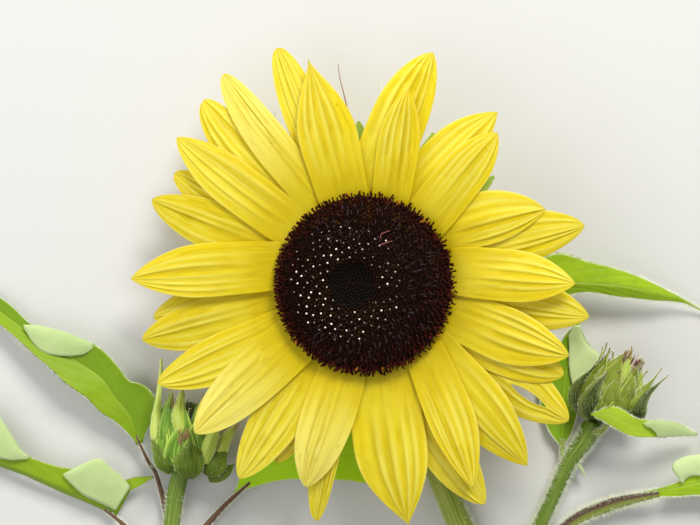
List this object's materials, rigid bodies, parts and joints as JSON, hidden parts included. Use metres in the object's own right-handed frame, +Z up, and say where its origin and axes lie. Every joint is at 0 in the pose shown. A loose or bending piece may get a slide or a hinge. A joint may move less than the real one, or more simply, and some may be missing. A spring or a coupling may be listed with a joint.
{
  "type": "cut sunflower top with an open bloom and buds",
  "caption": "Cut flowering top of a branching sunflower, lying with its open yellow bloom face up, with side buds, leaves and a bare cut stem.",
  "frame": {"origin": "on the floor plane, under the middle of the whole part's box", "axes": "+Z up from the floor, +Y along the cut stem from its cut end towards the bloom, +X to the right as the bloom is looked at from above"},
  "size_m": [0.3282, 0.3246, 0.0439],
  "materials": {
    "ray": "soft lemon-yellow petal, pleated along its length",
    "disc": "dark maroon-brown florets with cream specks",
    "stem": "green ridged stem with pale hairs",
    "bract": "hairy mid-green bract with pale edges",
    "leaf": "yellow-green blade with paler veins, rough with short hairs"
  },
  "bodies": {
    "root": {"main_stem": "stem", "left_branch": "stem", "right_branch": "stem", "ray_01": "ray", "ray_02": "ray", "ray_03": "ray", "ray_04": "ray", "ray_05": "ray", "ray_06": "ray", "ray_07": "ray", "ray_08": "ray", "ray_09": "ray", "ray_10": "ray", "ray_11": "ray", "ray_12": "ray", "ray_13": "ray", "ray_14": "ray", "ray_15": "ray", "ray_16": "ray", "ray_17": "ray", "ray_18": "ray", "ray_19": "ray", "ray_20": "ray", "ray_21": "ray", "ray_22": "ray", "ray_23": "ray", "ray_24": "ray", "ray_25": "ray", "ray_26": "ray", "ray_27": "ray", "ray_28": "ray", "ray_29": "ray", "ray_30": "ray", "ray_31": "ray", "bloom_disc": "disc", "bloom_calyx": "bract", "bud_right": "bract", "bud_left": "bract", "leaf_upper_right": "leaf", "leaf_behind_bud": "leaf", "leaf_lower_right": "leaf", "leaf_upper_left": "leaf", "leaf_lower_left": "leaf", "leaf_lower_middle": "leaf", "bud_leaf": "leaf"}
  },
  "joints": []
}
